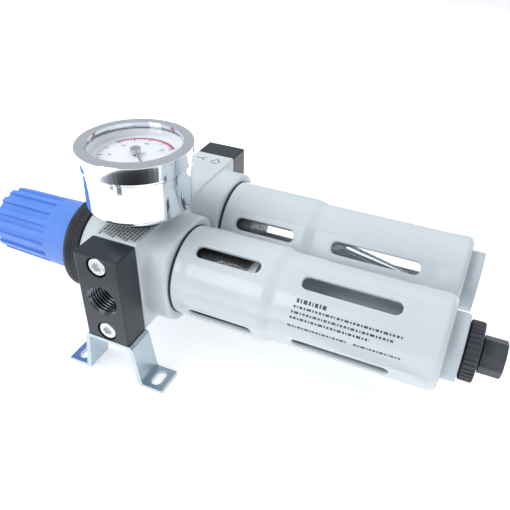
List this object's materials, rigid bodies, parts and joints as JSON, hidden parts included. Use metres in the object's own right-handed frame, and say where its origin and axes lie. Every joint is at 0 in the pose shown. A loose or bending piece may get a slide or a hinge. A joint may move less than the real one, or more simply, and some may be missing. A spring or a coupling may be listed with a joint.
{
  "type": "air pressure regulator",
  "caption": "Compressed-air filter-regulator with gauge and turning knob, joined to a lubricator between threaded port plates, with guarded bowls and bent steel feet.",
  "frame": {"origin": "on the mounting plane under the feet, midway between the two port plates, straight under the port axis", "axes": "+X from the regulator's knob towards the bowls, +Y from the inlet plate towards the outlet plate, +Z away from the mounting plane, out of the gauge's face"},
  "size_m": [0.2073, 0.1036, 0.0905],
  "materials": {
    "body_grey": "satin light grey paint on die casting",
    "guard_grey": "semi-gloss pale grey paint",
    "plate_black": "satin black paint",
    "knob_blue": "matte moulded blue",
    "black_plastic": "matte moulded black",
    "clear_plastic": "clear polycarbonate",
    "gauge_glass": "clear",
    "chrome": "polished chrome plate",
    "dial_white": "printed white",
    "pointer_steel": "bare",
    "zinc_steel": "blue zinc plate",
    "screw_steel": "bright zinc plate",
    "spring_steel": "bare",
    "brass": "turned",
    "alloy": "turned",
    "rubber_black": "nitrile",
    "white_plastic": "sintered or moulded white"
  },
  "bodies": {
    "frame": {"regulator_body": "body_grey", "bonnet": "black_plastic", "collar_nut": "black_plastic", "main_spring": "spring_steel", "diaphragm": "rubber_black", "valve_seat": "brass", "valve_cap": "black_plastic", "valve_spring": "spring_steel", "swirl_disc": "black_plastic", "filter_element": "white_plastic", "baffle": "white_plastic", "filter_rod": "brass", "filter_cushion_ring": "rubber_black", "gauge_stem": "brass", "gauge_seal": "rubber_black", "gauge_case": "chrome", "gauge_bezel": "chrome", "gauge_glass": "gauge_glass", "gauge_dial": "dial_white", "gauge_movement": "brass", "bourdon_tube": "brass", "lubricator_body": "body_grey", "sight_dome": "clear_plastic", "drip_nozzle": "brass", "dome_seal": "rubber_black", "pickup_core": "black_plastic", "siphon_tube": "clear_plastic", "siphon_strainer": "white_plastic", "lubricator_cushion_ring": "rubber_black", "inlet_plate": "plate_black", "outlet_plate": "plate_black", "inlet_plate_screws": "screw_steel", "outlet_plate_screws": "screw_steel", "inlet_seal": "rubber_black", "outlet_seal": "rubber_black", "inlet_foot": "zinc_steel", "outlet_foot": "zinc_steel", "inlet_foot_screws": "screw_steel", "outlet_foot_screws": "screw_steel", "module_seal": "rubber_black"},
    "spindle": {"adjusting_spindle": "spring_steel"},
    "knob": {"pressure_knob": "knob_blue"},
    "spring_nut": {"spring_nut": "brass"},
    "diaphragm_plate": {"diaphragm_plate": "alloy"},
    "valve_poppet": {"valve_poppet": "brass"},
    "pointer": {"gauge_pointer": "pointer_steel"},
    "quadrant": {"gauge_quadrant": "brass"},
    "filter_bowl": {"filter_bowl": "clear_plastic", "filter_bowl_seal": "rubber_black", "filter_guard": "guard_grey"},
    "lubricator_bowl": {"lubricator_bowl": "clear_plastic", "lubricator_bowl_seal": "rubber_black", "lubricator_guard": "guard_grey"},
    "drain": {"drain_wheel": "black_plastic", "drain_outlet": "black_plastic"},
    "drain_plunger": {"drain_plunger": "white_plastic"},
    "oil_screw": {"oil_screw": "knob_blue"},
    "flow_flap": {"flow_flap": "rubber_black"}
  },
  "joints": [
    {"name": "knob_turn", "type": "hinge", "parent": "frame", "child": "spindle", "pos_m": [0, -0.02, 0.0397], "axis": [1, 0, 0], "range_deg": [0, 2160]},
    {"name": "knob_pull", "type": "slide", "parent": "spindle", "child": "knob", "axis": [-1, 0, 0], "range_m": [0, 0.003]},
    {"name": "spring_nut_travel", "type": "slide", "parent": "frame", "child": "spring_nut", "axis": [1, 0, 0], "range_m": [0, 0.006], "deforming": ["main_spring"]},
    {"name": "diaphragm_travel", "type": "slide", "parent": "frame", "child": "diaphragm_plate", "axis": [1, 0, 0], "range_m": [0, 0.001], "stiffness_N_per_m": 600, "springref_m": -0.001, "deforming": ["diaphragm"]},
    {"name": "valve_travel", "type": "slide", "parent": "frame", "child": "valve_poppet", "axis": [1, 0, 0], "range_m": [0, 0.001], "stiffness_N_per_m": 300, "springref_m": -0.001, "deforming": ["valve_spring"]},
    {"name": "pointer_sweep", "type": "hinge", "parent": "frame", "child": "pointer", "pos_m": [-0.0008, -0.02, 0.0852], "axis": [0, 0, 1], "range_deg": [-270, 0], "stiffness_Nm_per_rad": 0.0001},
    {"name": "quadrant_swing", "type": "hinge", "parent": "frame", "child": "quadrant", "pos_m": [-0.0008, -0.03, 0.0772], "axis": [0, 0, 1], "range_deg": [0, 44]},
    {"name": "filter_bowl_turn", "type": "hinge", "parent": "frame", "child": "filter_bowl", "pos_m": [0, -0.02, 0.0397], "axis": [1, 0, 0], "range_deg": [0, 40]},
    {"name": "lubricator_bowl_turn", "type": "hinge", "parent": "frame", "child": "lubricator_bowl", "pos_m": [0, 0.02, 0.0397], "axis": [1, 0, 0], "range_deg": [0, 40]},
    {"name": "drain_turn", "type": "hinge", "parent": "filter_bowl", "child": "drain", "pos_m": [0, -0.02, 0.0397], "axis": [1, 0, 0], "range_deg": [0, 180]},
    {"name": "drain_plunger_travel", "type": "slide", "parent": "filter_bowl", "child": "drain_plunger", "axis": [1, 0, 0], "range_m": [-0.0015, 0]},
    {"name": "oil_screw_turn", "type": "hinge", "parent": "frame", "child": "oil_screw", "pos_m": [0, 0.02, 0.0397], "axis": [1, 0, 0], "range_deg": [0, 720]},
    {"name": "flow_flap_swing", "type": "hinge", "parent": "frame", "child": "flow_flap", "pos_m": [0, 0.0094, 0.0437], "axis": [1, 0, 0], "range_deg": [0, 40], "stiffness_Nm_per_rad": 0.0002}
  ],
  "couplings": [
    {"joint": "knob_turn", "follows": "spring_nut_travel", "rad_per_m": 6283.2},
    {"joint": "valve_travel", "follows": "diaphragm_travel", "ratio": 1},
    {"joint": "quadrant_swing", "follows": "pointer_sweep", "ratio": -0.1628},
    {"joint": "drain_turn", "follows": "drain_plunger_travel", "rad_per_m": -2094.4}
  ]
}
